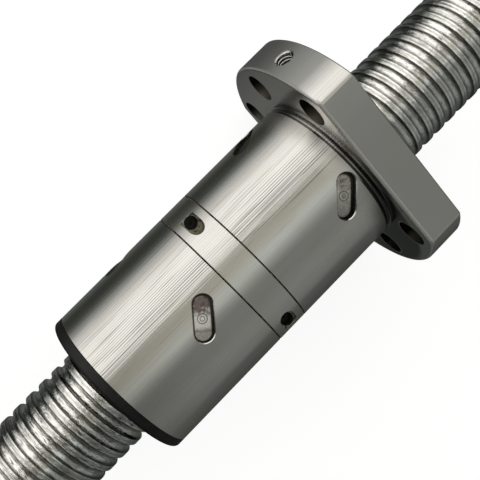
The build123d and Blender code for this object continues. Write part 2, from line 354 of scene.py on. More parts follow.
def ground_steel(name, streak, roughness, recess_colour, rim_depth):
    """Ground steel with streaks along X, dark seams, and recesses deeper than rim_depth, duller and
    painted darker as shade.
    """
    material, shader, place = new_material(name)
    tree = material.node_tree
    x, z = part(place, 0), part(place, 2)
    round_side = 1 - (z.maths("ABSOLUTE", z) > FLAT_Z - 0.2 * MM)
    rim, edge, flat_edge = flange_rim(place, round_side)
    # The dark streaks are painted strongest in the band on the +Y side where the soft light's
    # reflection lies. They are painted shade lines in the sheen, laid over the grinding's ridges.
    sheen_band = ramp(part(place, 1) / NUT_R, (0.25, 0.15), (0.45, 1.0), (0.65, 0.85), (0.85, 0.3))
    streaks_in_sheen = round_side * (1 - (x > 0.2 * MM) * 0.6) * sheen_band * streak
    ridges = noise(stretched(place, (9, 1000, 1000)), 2.8, 1.5, 0.5)
    hairs = noise(stretched(place, (28, 1500, 1500)), 1.6, 1.0)
    waves = noise(stretched(place, (6, 300, 300)), 1.0, 1.0)
    polish = noise(place, 90.0, 3.0)
    lines = wheel_lines_at_light_edge(place) * round_side * streak
    scratches = ramp(ridges, (0.52, 0.0), (0.74, 0.3)) + ramp(hairs, (0.58, 0.0), (0.68, 1.0))

    tint = blend(ramp(polish, (0.35, 0.0), (0.75, 1.0)), STEEL, WARM_STEEL)
    skin = blend((scratches * streaks_in_sheen + lines * 1.5) * 0.6, blend(rim, tint, RIM_GREY), SCRATCH_AND_SHADE)
    seams = band(x, SEAMS_X[0], SEAM_HALF) + band(x, SEAMS_X[1], SEAM_HALF)
    # Recesses deeper than rim_depth are painted darker as shade, with oil spots over them.
    recess = (radial(place) < NUT_R - rim_depth) * (x < UNDERCUT_END_X)
    oil_spots = ramp(noise(place, 900.0, 3.0), (0.48, 0.0), (0.62, 0.8))
    shaded_oily_recess = blend(oil_spots, recess_colour, SHADE_AND_OIL_BLACK)
    holes, hole_wall = bolt_hole_shading(place)
    body = blend(recess, blend(seams, skin, SHADE_AND_OIL_BLACK), shaded_oily_recess)
    colour = blend(root_painted_shade(place) * (1 - holes), blend(holes, body, hole_wall), SHADE_AND_OIL_BLACK)
    plug(tree, shader.inputs["Base Color"], colour)
    plug(tree, shader.inputs["Metallic"], 1 - rim * 0.3 - edge * 0.6 - flat_edge * 0.45)

    dull_root = ramp(x / (10 * MM) + 1, (0.1, 0.0), (0.6, 0.45)) * (x < -1.8 * MM)
    dull = seams + recess + holes + rim * 0.4 + dull_root + flat_edge
    grain = roughness + (ridges - 0.5) * 0.08 + (polish - 0.5) * 0.08
    plug(tree, shader.inputs["Roughness"], grain + dull * 0.35)
    fine = bump((ridges + hairs * 1.1) * streaks_in_sheen - lines * 0.5, 3.0e-5)
    plug(tree, shader.inputs["Normal"], bump(waves, streak * 1.4e-5, fine))
    return material


nut_steel = ground_steel("nut_steel", 1.0, 0.20, RECESS_GREY, 0.25 * MM)
spacer_steel = ground_steel("spacer_steel", 0.35, 0.23, POCKET_GREY, 0.03 * MM)

# %% [markdown]
# ## The screw's steel
# The thread is ground with a wheel that follows the groove. Its land keeps the duller grey of the
# bar, and its groove and broken edges are bright, so the material works out the land's middle from
# the helix. A painted shade runs in the groove just past each land's edge. Unrolling the thread into
# a flat strip gives a second place to read patterns from: a noise that is fine across the strip and
# long along it makes hairlines, chatter, dark dashes and smears that all run with the thread; the
# smears are painted dark reflection on the +Y side. The two cut ends are turned faces, and none of
# this is there.

# %% The thread unrolled, and the screw's material
SCREW_BRIGHT = (0.80, 0.795, 0.765, 1)
SCREW_STAINED = (0.50, 0.49, 0.45, 1)
LAND_GREY = (0.40, 0.395, 0.37, 1)
THREAD_SHADE_AND_MARKS = (0.045, 0.044, 0.038, 1)
TOOL_FEED = 0.4 * MM


def helix_place(place):
    """Leads along X, whole at a land's middle, and the place on the unrolled thread in metres."""
    turn = round_the_axis(place) / (2 * pi)
    leads = part(place, 0) / LEAD - turn - (FIRST_LAND_X / LEAD - 0.25)
    strip = {0: leads * LEAD, 1: turn * (2 * pi * SCREW_R), 2: 0.0}
    return leads, leads.node("ShaderNodeCombineXYZ", {}, strip)


def thread_marks(place, unrolled, patches, rough_end):
    """Torn dashes, most of them near the -X end, and long smears on the +Y side, painted there as dark
    reflection.
    """
    torn = noise(stretched(unrolled, (3000, 400, 1)), 1.0, 1.0) + rough_end * 0.075
    dashes = ramp(torn, (0.62, 0.0), (0.69, 1.0)) * patches
    # The smears are kept to the +Y side, where the thread mirrors the dark sheet below: painted dark
    # reflection.
    low_side = ramp(part(place, 1) / SCREW_R, (0.5, 0.0), (0.8, 1.0))
    smeared = noise(stretched(unrolled, (1300, 110, 1)), 1.0, 2.0)
    smears_and_dark_reflection = ramp(smeared, (0.49, 0.0), (0.63, 1.0)) * low_side
    return smears_and_dark_reflection.maths("MAXIMUM", smears_and_dark_reflection * 0.7, dashes * 0.8)


def screw_steel():
    """Bright ground steel with a duller land, painted shade beside the groove's edges and marks along
    it.
    """
    material, shader, place = new_material("screw_steel")
    tree = material.node_tree
    leads, unrolled = helix_place(place)
    off_land = leads.maths("ABSOLUTE", leads - leads.maths("ROUND", leads)) * LEAD
    on_end = band(part(place, 0), SCREW_FROM, 0.1 * MM) + band(part(place, 0), SCREW_TO, 0.1 * MM)
    rough_end = ramp(part(place, 0) / SCREW_FROM, (0.6, 0.0), (0.7, 1.0))
    patches = ramp(noise(place, 150.0, 2.0), (0.4, 0.25), (0.62, 1.0))
    stain = ramp(noise(place, 420.0, 4.0, 0.65), (0.46, 0.0), (0.66, 1.0))
    dull = ramp(off_land / (0.5 * MM), (0.35, 1.0), (0.8, 0.0))
    # A painted shade band in the groove, just past each land's edge.
    groove_edge_shade = ramp(off_land / (2.5 * MM), (0.32, 0.0), (0.40, 0.88), (0.52, 0.55), (0.66, 0.0))

    aged = blend(dull * 0.55, blend(stain * 0.7, SCREW_BRIGHT, SCREW_STAINED), LAND_GREY)
    dark = groove_edge_shade.maths("MAXIMUM", groove_edge_shade, thread_marks(place, unrolled, patches, rough_end))
    plug(tree, shader.inputs["Base Color"], blend(dark * (1 - on_end), aged, THREAD_SHADE_AND_MARKS))
    plug(tree, shader.inputs["Metallic"], 1.0)
    plug(tree, shader.inputs["Roughness"], 0.075 + stain * 0.08 + dull * 0.12 + on_end * 0.2)

    hairlines = noise(stretched(unrolled, (3200, 320, 1)), 1.0, 2.0, 0.6) * patches
    chatter_height = patches * 0.8 + 0.3 + rough_end * 0.35
    chatter = noise(stretched(unrolled, (1300, 450, 1)), 1.0, 3.0, 0.75) * chatter_height
    turned = radial(place).maths("SINE", radial(place) * (2 * pi / TOOL_FEED)) * on_end
    ground = bump(hairlines * (1 - on_end), 1.3e-4, bump(chatter * (1 - on_end), 1.4e-4))
    plug(tree, shader.inputs["Normal"], bump(turned, 6e-6, ground))
    return material


# %% [markdown]
# ## The deflectors' steel
# The deflectors are sintered: duller, grainy and stained. Their marks follow the bar and not the
# frame, so they read a UV map that holds millimetres from the bar's own middle. Each bar has two
# punched rings. Those of the flanged body also have a small dimple, and those of the plain body get a
# painted highlight across the middle, with a painted shade line below it and a brown stain above.
# All bars are painted black towards +Y, past 0.8 of the nut's radius.

# %% The deflectors' material
SAND_LIGHT = (0.76, 0.735, 0.68, 1)
SAND_DARK = (0.42, 0.40, 0.37, 1)
STAIN_BROWN = (0.20, 0.158, 0.147, 1)
SPOT_BROWN = (0.08, 0.062, 0.058, 1)
LOW_GREY = (0.20, 0.195, 0.18, 1)
PAINTED_HIGHLIGHT = (0.97, 0.95, 0.90, 1)
SHADE_LINE_GREY = (0.20, 0.20, 0.16, 1)
MARK_GREY = (0.13, 0.125, 0.11, 1)
OUTER_RING_R = 1.3
INNER_RING_R = {"dimpled": 0.48, "sheen_band": 0.62}
DIMPLE_ALONG, DIMPLE_ACROSS = 4.1, 0.5
BAR_SPAN = 12


def bar_map(place):
    """Millimetres along and across a deflector, from its UV map."""
    return place.node("ShaderNodeUVMap", {"uv_map": "bar"})


def punched_rings(along, across, cloud, kind):
    """Two rings round the bar's middle, a little uneven."""
    from_middle = along.maths("SQRT", along * along + across * across) + (cloud - 0.5) * 0.25
    return band(from_middle, OUTER_RING_R, 0.12) + band(from_middle, INNER_RING_R[kind], 0.1)


def dimple(along, across):
    off_along, off_across = along - DIMPLE_ALONG, across - DIMPLE_ACROSS
    from_dimple = along.maths("SQRT", off_along * off_along + off_across * off_across)
    return band(from_dimple, 0.33, 0.12)


def highlight_and_shade_line(shaded, along, cloud):
    """A painted highlight across the middle, and a painted shade line below it."""
    up_bar = along / BAR_SPAN + 0.5 + (cloud - 0.5) * 0.1
    sheen_band = ramp(up_bar, (0.25, 0.0), (0.32, 1.0), (0.52, 1.0), (0.6, 0.0))
    shade_line = band(along + (cloud - 0.5) * 0.7, -3.3, 0.4) * 0.42
    return blend(shade_line, blend(sheen_band * 0.7, shaded, PAINTED_HIGHLIGHT), SHADE_LINE_GREY)


def deflector_steel(name, stained, kind):
    """Sintered steel with its punched marks, stained over the bar's upper end."""
    material, shader, place = new_material(name)
    tree = material.node_tree
    along, across = part(bar_map(place), 0), part(bar_map(place), 1)
    grain = noise(place, 2400.0, 3.0, 0.7)
    cloud = noise(place, 700.0, 3.0, 0.6)
    speckle = noise(place, 1100.0, 3.0, 0.7)
    marks = punched_rings(along, across, cloud, kind) * (0.7 + stained * 0.15)
    if kind == "dimpled":
        marks = marks + dimple(along, across)

    sand = blend(ramp(grain, (0.38, 0.0), (0.66, 1.0)), SAND_LIGHT, SAND_DARK)
    stain = ramp(along * 0.10 + cloud * 1.3 - 0.4, (0.35, 0.0), (0.58, 1.0)) * stained
    spots = ramp(speckle, (0.5 - stained * 0.06, 0.0), (0.64, 1.0)) * (stain * 0.8 + 0.2)
    low = ramp(along / BAR_SPAN + 0.5, (0.05, 1.0), (0.55, 0.0)) * (0.55 - stained * 0.3)
    shaded = blend(low, blend(spots, blend(stain, sand, STAIN_BROWN), SPOT_BROWN), LOW_GREY)
    if kind == "sheen_band":
        shaded = highlight_and_shade_line(shaded, along, cloud)
    # Black on the bars towards +Y, past 0.8 of the nut's radius.
    black_towards_plus_y = ramp(part(place, 1) / NUT_R, (0.8, 0.0), (0.88, 0.9))
    plug(tree, shader.inputs["Base Color"], blend(black_towards_plus_y, blend(marks, shaded, MARK_GREY), SHADE_AND_OIL_BLACK))
    plug(tree, shader.inputs["Metallic"], 0.82 - stained * 0.22)
    plug(tree, shader.inputs["Roughness"], 0.38 + grain * 0.2)
    plug(tree, shader.inputs["Normal"], bump(1 - marks, 8e-5, bump(grain, 2.0e-5)))
    return material


# %% [markdown]
# ## Plastic, tapped steel and small metal
# The end ring is black moulded plastic with a little dust. The port's thread is bright along its
# crest and painted black as shade in its root, which the distance from the port's own axis tells.
# What is left are pins, springs and screws, and one small function with a colour and a roughness
# serves them all.

# %% The other finishes
PORT_ANGLE = radians(22.5)
PORT_WALL_R = 2.49 * MM
PORT_CREST_R = 2.12 * MM
CREST_BRIGHT = (0.74, 0.74, 0.71, 1)
PLASTIC_BLACK = (0.005, 0.005, 0.005, 1)
DUST_GREY = (0.014, 0.014, 0.013, 1)


def plain_metal(name, colour, roughness):
    """A small piece's metal, with a faint cloud in its polish."""
    material, shader, place = new_material(name)
    tree = material.node_tree
    cloud = noise(place, 700.0, 3.0)
    darker = (*[0.8 * c for c in colour[:3]], 1)
    plug(tree, shader.inputs["Base Color"], blend(cloud, colour, darker))
    plug(tree, shader.inputs["Metallic"], 1.0)
    plug(tree, shader.inputs["Roughness"], roughness + (cloud - 0.5) * 0.12)
    plug(tree, shader.inputs["Normal"], bump(cloud, 3e-6))
    return material


def black_plastic():
    material, shader, place = new_material("black_plastic")
    grain = noise(place, 2600.0, 2.0)
    dust = ramp(noise(place, 380.0, 4.0), (0.5, 0.0), (0.8, 1.0))
    tree = material.node_tree
    plug(tree, shader.inputs["Base Color"], blend(dust, PLASTIC_BLACK, DUST_GREY))
    plug(tree, shader.inputs["Specular IOR Level"], 0.3)
    plug(tree, shader.inputs["Roughness"], 0.42 + grain * 0.16)
    plug(tree, shader.inputs["Normal"], bump(grain, 1.5e-5))
    return material


def tapped_steel():
    """Bright along the thread's crest, and painted black as shade in its root."""
    material, shader, place = new_material("tapped_steel")
    tree = material.node_tree
    off_x = part(place, 0) - FLANGE_FRONT / 2
    off_side = part(place, 1) * sin(PORT_ANGLE) - part(place, 2) * cos(PORT_ANGLE)
    from_port_axis = off_x.maths("SQRT", off_x * off_x + off_side * off_side)
    depth = (from_port_axis - PORT_CREST_R) / (PORT_WALL_R - PORT_CREST_R)
    # Painted shade: black deeper in the thread's root.
    root = ramp(depth, (0.12, 0.0), (0.45, 1.0))
    plug(tree, shader.inputs["Base Color"], blend(root, CREST_BRIGHT, SHADE_AND_OIL_BLACK))
    plug(tree, shader.inputs["Metallic"], 1.0)
    plug(tree, shader.inputs["Roughness"], 0.3 + noise(place, 1500.0) * 0.2)
    return material


screw_finish = screw_steel()
flanged_bar_finish = deflector_steel("flanged_bar_steel", 0.35, "dimpled")
plain_bar_finish = deflector_steel("plain_bar_steel", 1.0, "sheen_band")
ring_plastic = black_plastic()
port_finish = tapped_steel()
# Near-black finish of the deflectors' solids: painted shade in the gap round each bar.
gap_shade_steel = plain_metal("gap_shade_steel", (0.05, 0.048, 0.042, 1), 0.45)
ball_finish = plain_metal("ball_steel", (0.75, 0.75, 0.74, 1), 0.08)
pin_finish = plain_metal("pin_steel", (0.66, 0.66, 0.64, 1), 0.2)
spring_finish = plain_metal("spring_steel", (0.22, 0.21, 0.20, 1), 0.4)
dark_finish = plain_metal("blackened_steel", (0.05, 0.05, 0.05, 1), 0.5)
print(len(bpy.data.materials), "materials, with those of the packed model")

# %% [markdown]
# ## Dressing the solids
# A solid whose shape is right keeps its mesh and only gets a finish. The record says which finish
# slot each node belongs to, so one small table is enough. The deflectors' solids get a near-black
# finish, a painted shade that shows as a dark line round each bar. Their bright faces come later, as
# pieces of their own.

# %% Finishes onto the nodes
FINISHES = {
    "ground_steel": nut_steel,
    "spacer_steel": spacer_steel,
    "screw_steel": screw_finish,
    "deflector_steel": gap_shade_steel,
    "bright_steel": pin_finish,
    "spring_steel": spring_finish,
    "blackened_steel": dark_finish,
    "black_plastic": ring_plastic,
}


def dress(node, material):
    mesh = frame["nodes"][node].data
    mesh.materials.clear()
    mesh.materials.append(material)


for entry in record["subparts"]:
    dress(entry["node"], FINISHES[entry["material_slot"]])
print("dressed", len(record["subparts"]), "nodes")

# %% [markdown]
# ## Growing the thread with Geometry Nodes
# The thread's shape follows a rule: one cross-section, turned about X while it moves one lead per
# turn. So a flat grid is enough of a start. Its first direction becomes the turn, its second runs
# from the middle of one land to the next, and one Set Position node winds it up. The groove is a
# pointed arch, as on a real ball screw: each side is an arc a little larger than the ball, and a
# smooth minimum rounds the edge where it meets the land. Past each end the radius shrinks by as much
# as the sheet overshoots, so the same sheet turns its own chamfer and closes its own flat end.

# %% A helper for node groups with named inputs


def new_group(name, inputs):
    """A Geometry Nodes tree with a material input, the named number inputs and one geometry output."""
    tree = bpy.data.node_groups.new(name, "GeometryNodeTree")
    tree.interface.new_socket("Geometry", in_out="INPUT", socket_type="NodeSocketGeometry")
    for label, kind in inputs.items():
        tree.interface.new_socket(label, in_out="INPUT", socket_type="NodeSocket" + kind)
    tree.interface.new_socket("Geometry", in_out="OUTPUT", socket_type="NodeSocketGeometry")
    entry = tree.nodes.new("NodeGroupInput")
    exit_node = tree.nodes.new("NodeGroupOutput")
    return tree, {s.name: Out(tree, s) for s in entry.outputs if s.name}, exit_node


def finish_group(geometry, material, exit_node):
    """Ends a tree with real meshes, shaded smooth, with their material set. Ends a tree
    as the export needs it: real meshes, with their material set.
    """
    real = geometry.node("GeometryNodeRealizeInstances", {}, {0: geometry})
    smooth = real.node("GeometryNodeSetShadeSmooth", {}, {"Geometry": real, "Shade Smooth": True})
    painted = smooth.node("GeometryNodeSetMaterial", {}, {"Geometry": smooth, "Material": material})
    plug(geometry.tree, exit_node.inputs[0], painted)


def grow(name, start_mesh, tree, values, body):
    """Runs a tree on a start mesh and keeps the result as one plain mesh on a body."""
    source = bpy.data.objects.new(name + "_source", start_mesh)
    bpy.context.scene.collection.objects.link(source)
    modifier = source.modifiers.new("grow", "NODES")
    modifier.node_group = tree
    for item in tree.interface.items_tree:
        if item.in_out == "INPUT" and item.name in values:
            modifier[item.identifier] = values[item.name]
    ready = source.evaluated_get(bpy.context.evaluated_depsgraph_get())
    mesh = bpy.data.meshes.new_from_object(ready)
    bpy.data.objects.remove(source)
    return place_piece(name, mesh, body)


def place_piece(name, mesh, body):
    piece = bpy.data.objects.new(name, mesh)
    bpy.context.scene.collection.objects.link(piece)
    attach(piece, body)
    print(name, len(mesh.vertices), "points", len(mesh.polygons), "faces")
    return piece


# %% The tree that winds the thread
THREAD_INPUTS = {
    "Lead": "Float", "Turns": "Int", "Steps": "Int", "Rows": "Int", "Screw Radius": "Float",
    "Centre Radius": "Float", "Groove Radius": "Float", "Arch Offset": "Float", "Edge Round": "Float",
    "First X": "Float", "First Angle": "Float", "From X": "Float", "To X": "Float",
    "End Radius": "Float", "Material": "Material",
}


def wound_thread():
    tree, given, exit_node = new_group("wound_thread", THREAD_INPUTS)
    lead = given["Lead"]
    across = given["Rows"] + 1
    around = given["Turns"] * given["Steps"] + 1
    sockets = {"Size X": 1.0, "Size Y": 1.0, "Vertices X": around, "Vertices Y": across}
    grid = lead.node("GeometryNodeMeshGrid", {}, sockets)
    flat = Out(tree, tree.nodes.new("GeometryNodeInputPosition").outputs[0])
    turns = (part(flat, 0) + 0.5) * given["Turns"]
    along = part(flat, 1) + 0.5
    x = given["First X"] + (turns + along) * lead
    angle = given["First Angle"] + turns * (2 * pi)
    radius = chamfered(arch_radius(given, along * lead), x, given)
    capped = x.maths("MINIMUM", x.maths("MAXIMUM", x, given["From X"]), given["To X"])
    y = radius * angle.maths("COSINE", angle)
    z = radius * angle.maths("SINE", angle)
    wound = x.node("ShaderNodeCombineXYZ", {}, {0: capped, 1: y, 2: z})
    shaped = wound.node("GeometryNodeSetPosition", {}, {"Geometry": grid, "Position": wound})
    welded = shaped.node("GeometryNodeMergeByDistance", {}, {"Geometry": shaped, "Distance": 2e-6})
    finish_group(welded, given["Material"], exit_node)
    return tree


def arch_radius(given, along):
    """The surface's radius at a distance along one lead, from the middle of a land."""
    off_middle = along - given["Lead"] * 0.5
    side = off_middle.maths("ABSOLUTE", off_middle) + given["Arch Offset"]
    drop = given["Groove Radius"] * given["Groove Radius"] - side * side
    arc = given["Centre Radius"] - drop.maths("SQRT", drop.maths("MAXIMUM", drop, 0.0))
    return arc.maths("SMOOTH_MIN", arc, given["Screw Radius"], given["Edge Round"])


def chamfered(radius, x, given):
    """The radius held under both ends' cones, and drawn in to the axis past the ends."""
    room = x.maths("MINIMUM", x - given["From X"], given["To X"] - x) + given["End Radius"]
    return radius.maths("MAXIMUM", radius.maths("MINIMUM", radius, room), 0.0)


# %% Wind the screw's thread and let it stand for the screw's solid
END_CHAMFER = 1.5 * MM
END_R = SCREW_R - END_CHAMFER
STEPS_PER_TURN = 62
ROWS_PER_LEAD = 31
overshoot = END_R + LEAD
first_turn = floor((SCREW_FROM - overshoot - FIRST_LAND_X) / LEAD)
last_turn = ceil((SCREW_TO + overshoot - FIRST_LAND_X) / LEAD)
thread_values = {
    "Lead": LEAD, "Turns": last_turn - first_turn, "Steps": STEPS_PER_TURN, "Rows": ROWS_PER_LEAD,
    "Screw Radius": SCREW_R, "Centre Radius": BALL_CENTRE_R, "Groove Radius": GROOVE_R,
    "Arch Offset": 0.05 * MM, "Edge Round": 0.16 * MM, "First X": FIRST_LAND_X + first_turn * LEAD,
    "First Angle": pi / 2, "From X": SCREW_FROM, "To X": SCREW_TO, "End Radius": END_R,
    "Material": screw_finish,
}
seed = bpy.data.meshes.new("seed")
thread = grow("screw_thread", seed, wound_thread(), thread_values, "screw")
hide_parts("screw_shaft")

# %% [markdown]
# ## The balls
# Each circuit is one turn of the thread filled with balls, and a short hop over the land through the
# deflector, back to where the turn began. A single circuit is laid out once by its balls' numbers
# and then set at every deflector. The balls are sealed in the nut, so a few dozen faces each are
# enough.

# %% The tree that lays the ball circuits
BALLS_PER_CIRCUIT = 32
HOP_HALF_ANGLE = radians(10)


def ball_circuits():
    inputs = {"Balls": "Int", "Ball Radius": "Float", "Centre Radius": "Float", "Lead": "Float",
              "Hop Angle": "Float", "Hop Rise": "Float", "Material": "Material"}
    tree, given, exit_node = new_group("ball_circuits", inputs)
    index = Out(tree, tree.nodes.new("GeometryNodeInputIndex").outputs[0])
    share = index / given["Balls"]
    turn_share = 1 - given["Hop Angle"] / pi
    in_turn = share / turn_share
    hop = (share - turn_share) / (1 - turn_share)
    hopping = share > turn_share
    winding = given["Hop Angle"] + in_turn * (2 * pi - given["Hop Angle"] * 2)
    crossing = given["Hop Angle"] * (hop * 2 - 1)
    angle = winding * (1 - hopping) + crossing * hopping
    x_turn = (winding / (2 * pi) - 0.5) * given["Lead"]
    x_hop = (0.5 - hop) * given["Lead"]
    x = x_turn * (1 - hopping) + x_hop * hopping
    lift = (hop * pi).maths("SINE", hop * pi) * given["Hop Rise"] * hopping
    radius = given["Centre Radius"] + lift
    spot = x.node("ShaderNodeCombineXYZ", {}, {
        0: x, 1: radius * angle.maths("COSINE", angle), 2: radius * angle.maths("SINE", angle)})
    points = spot.node("GeometryNodePoints", {}, {"Count": given["Balls"], "Position": spot})
    sphere = {"Radius": given["Ball Radius"], "Subdivisions": 2}
    ball = points.node("GeometryNodeMeshIcoSphere", {}, sphere)
    circuit = ball.node("GeometryNodeInstanceOnPoints", {}, {"Points": points, "Instance": ball})
    turned = ball.node("GeometryNodeInputNamedAttribute", {"data_type": "FLOAT"}, {"Name": "turn"})
    rotation = turned.node("ShaderNodeCombineXYZ", {}, {0: turned, 1: 0.0, 2: 0.0})
    sockets = {"Points": given["Geometry"], "Instance": circuit, "Rotation": rotation}
    laid = circuit.node("GeometryNodeInstanceOnPoints", {}, sockets)
    finish_group(laid, given["Material"], exit_node)
    return tree


def circuit_points():
    """One point on the axis for each circuit, with the angle of its deflector."""
    mesh = bpy.data.meshes.new("circuit_points")
    mesh.from_pydata([(x, 0, 0) for _, x, _ in CIRCUITS], [], [])
    turn = mesh.attributes.new("turn", "FLOAT", "POINT")
    turn.data.foreach_set("value", [angle for _, _, angle in CIRCUITS])
    return mesh


ball_values = {
    "Balls": BALLS_PER_CIRCUIT, "Ball Radius": BALL_R, "Centre Radius": BALL_CENTRE_R, "Lead": LEAD,
    "Hop Angle": HOP_HALF_ANGLE, "Hop Rise": 1.3 * MM, "Material": ball_finish,
}
grow("balls", circuit_points(), ball_circuits(), ball_values, "nut")

# %% [markdown]
# ## Faces of the deflectors
# What shows of a deflector is the top of a round-ended bar, low in its slot, with softly broken
# edges. The solid is kept, and a thin face is laid over it. It is built from stadium outlines that
# rise at first and then run inwards. The face is narrower than its slot and sits a little to one
# side of it, so the near-black solid shows as a dark line round it, a painted shade in the gap. Every
# point keeps its place on the bar in the UV map, and is then bent to the round of the body.

# %% Stadium outlines and the deflector's face
SLOT_LEAN = radians(49)
FACE_HALF_SPAN = 3.75 * MM
FACE_R = {"flanged": 2.22 * MM, "plain": 2.27 * MM}
FACE_SHIFT = {"flanged": 0.36 * MM, "plain": 0.28 * MM}
ROUND_STEPS, SIDE_STEPS = 16, 12
# How far in and how high each outline lies, in millimetres. The last one has no width.
FACE_STEPS = ((0.0, -0.02), (0.0, 0.04), (0.07, 0.10), (0.2, 0.14), (0.4, 0.16),
              (0.8, 0.16), (1.3, 0.16), (1.8, 0.16), (None, 0.16))


def stadium(half_span, radius):
    """The outline's points: a half circle round each end of a straight bar."""
    bend = [pi * k / ROUND_STEPS - pi / 2 for k in range(ROUND_STEPS + 1)]
    side = [half_span * (1 - 2 * k / SIDE_STEPS) for k in range(1, SIDE_STEPS)]
    half = [(half_span + radius * cos(a), radius * sin(a)) for a in bend]
    half += [(at, radius) for at in side]
    return half + [(-px, -py) for px, py in half]


def loft(bm, rings):
    """Skins equal closed rings of points. The last has no width, so its sides are welded."""
    rows = [[bm.verts.new(p) for p in ring] for ring in rings]
    for row, following in zip(rows, rows[1:]):
        count = len(row)
        for k in range(count):
            bm.faces.new((row[k], row[(k + 1) % count], following[(k + 1) % count], following[k]))
    bmesh.ops.remove_doubles(bm, verts=rows[-1], dist=0.01 * MM)


def bend_to_body(vert, x, angle, top_r):
    """Moves a point of the flat bar to its place on the round body."""
    along, across, height = vert.co
    lean = Vector((along, across)) @ Matrix.Rotation(-SLOT_LEAN, 2)
    reach = sqrt(top_r ** 2 - lean.y ** 2) + height
    out, aside = Vector((cos(angle), sin(angle))), Vector((sin(angle), -cos(angle)))
    vert.co = (x + lean.x, *(reach * out + lean.y * aside))


def outwards(face):
    """More than 0 where the face looks away from the screw's axis."""
    middle = face.calc_center_median()
    return face.normal.dot(Vector((0, middle.y, middle.z)))


def deflector_face(bm, family, x, angle, top_r):
    """One face in its own flat frame, with its map, then bent and set at its place."""
    bar = bmesh.new()
    rings = []
    for inset, rise in FACE_STEPS:
        radius = 0 if inset is None else FACE_R[family] - inset * MM
        rings.append([(px, py, rise * MM) for px, py in stadium(FACE_HALF_SPAN, radius)])
    loft(bar, rings)
    bar_uv = bar.loops.layers.uv.new("bar")
    for face in bar.faces:
        for loop in face.loops:
            loop[bar_uv].uv = loop.vert.co.xy / MM
    for vert in bar.verts:
        vert.co.y += FACE_SHIFT[family]
        bend_to_body(vert, x, angle, top_r)
    bmesh.ops.recalc_face_normals(bar, faces=bar.faces)
    if sum(outwards(face) for face in bar.faces) < 0:
        bmesh.ops.reverse_faces(bar, faces=bar.faces)
    mesh = bpy.data.meshes.new("bar")
    bar.to_mesh(mesh)
    bar.free()
    bm.from_mesh(mesh)
    bpy.data.meshes.remove(mesh)


def piece_from(name, bm, material, body, smooth=True):
    mesh = bpy.data.meshes.new(name)
    bm.to_mesh(mesh)
    bm.free()
    mesh.materials.append(material)
    if smooth:
        mesh.shade_smooth()
    else:
        mesh.shade_flat()
    return place_piece(name, mesh, body)


def furthest_out(node):
    """How far the node reaches from the axis."""
    return max(sqrt(v.co.y ** 2 + v.co.z ** 2) for v in frame["nodes"][node].data.vertices)


for family, finish in (("flanged", flanged_bar_finish), ("plain", plain_bar_finish)):
    faces = bmesh.new()
    for node, x, angle in CIRCUITS:
        if node.startswith(family):
            deflector_face(faces, family, x, angle, furthest_out(node))
    piece_from(family + "_deflector_faces", faces, finish, "nut")

# %% [markdown]
# ## The port's thread
# The grease port is tapped, and the turns of its thread catch the light inside the hole. Like the
# screw it is a wound strip, but a short one, so plain mesh code is shorter than a tree: a ridge with
# four corners is turned about the port's own axis and moves up by its pitch.

# %% Wind the thread inside the port
PORT_PITCH = 1.0 * MM
PORT_TOP_R = FLANGE_R - 0.62 * MM
PORT_TURNS = 7
PORT_STEPS = 40
RIDGE = ((PORT_WALL_R, -0.42), (PORT_CREST_R, -0.06), (PORT_CREST_R, 0.06), (PORT_WALL_R, 0.42))


def port_thread():
    """The ridge at every step of its winding, skinned and closed at both ends."""
    bm = bmesh.new()
    place = Matrix.Rotation(PORT_ANGLE, 4, "X") @ Matrix.Rotation(-pi / 2, 4, "X")
    place = Matrix.Translation((FLANGE_FRONT / 2, 0, 0)) @ place
    rows = []
    for k in range(PORT_TURNS * PORT_STEPS + 1):
        a = 2 * pi * k / PORT_STEPS
        height = PORT_TOP_R - PORT_PITCH * (PORT_TURNS - k / PORT_STEPS)
        corners = [(r * cos(a), r * sin(a), height + s * PORT_PITCH) for r, s in RIDGE]
        rows.append([bm.verts.new(place @ Vector(corner)) for corner in corners])
    for row, following in zip(rows, rows[1:]):
        for j in range(len(row)):
            nxt = (j + 1) % len(row)
            bm.faces.new((row[j], following[j], following[nxt], row[nxt]))
    bm.faces.new(rows[0])
    bm.faces.new(rows[-1])
    bmesh.ops.recalc_face_normals(bm, faces=bm.faces)
    return bm


piece_from("port_thread", port_thread(), port_finish, "nut", smooth=False)

# %% [markdown]
# ## Camera
# The camera stands where the photographer stood: about 200 mm from the nut, a little to the left of
# it and looking steeply down, so the near parts look larger than the far ones. Its roll lays the
# screw along the picture's diagonal.

# %% Place the camera
CAMERA_AT = Vector((-52.5, 70.65, 189.3)) * MM
CAMERA_TURN = (radians(-10.41), radians(-17.13), radians(-42.92))
LENS_MM = 50.7

camera_data = bpy.data.cameras.new("camera")
camera_data.lens = LENS_MM
camera_data.sensor_width = 36
camera_data.clip_start = 0.01
camera = bpy.data.objects.new("camera", camera_data)
camera.location = CAMERA_AT
camera.rotation_euler = CAMERA_TURN
bpy.context.scene.collection.objects.link(camera)
bpy.context.scene.camera = camera
print("camera is", round(CAMERA_AT.length / MM), "mm from the origin")

# %% [markdown]
# ## Light
# Bare steel shows its surroundings, so the room is part of the finish. One tall soft light stands on
# the +Y side, and its upper edge is what draws the sharp line along the body. That edge rises towards
# both ends, so the screw shows no such line. A grey tent closes the rest: a little brighter and
# warmer beside the light, dim behind, and darkest past the black ring, which gives each groove of
# the thread a dark flank. A dark sheet under the object, seen only in reflections, stands in for the
# shade beneath it: it glows with a painted shadow under the object and painted light towards the soft
# light. The camera sees neither tent nor sheet, only the white floor with the object's faint shadow.

# %% Helpers for the stage


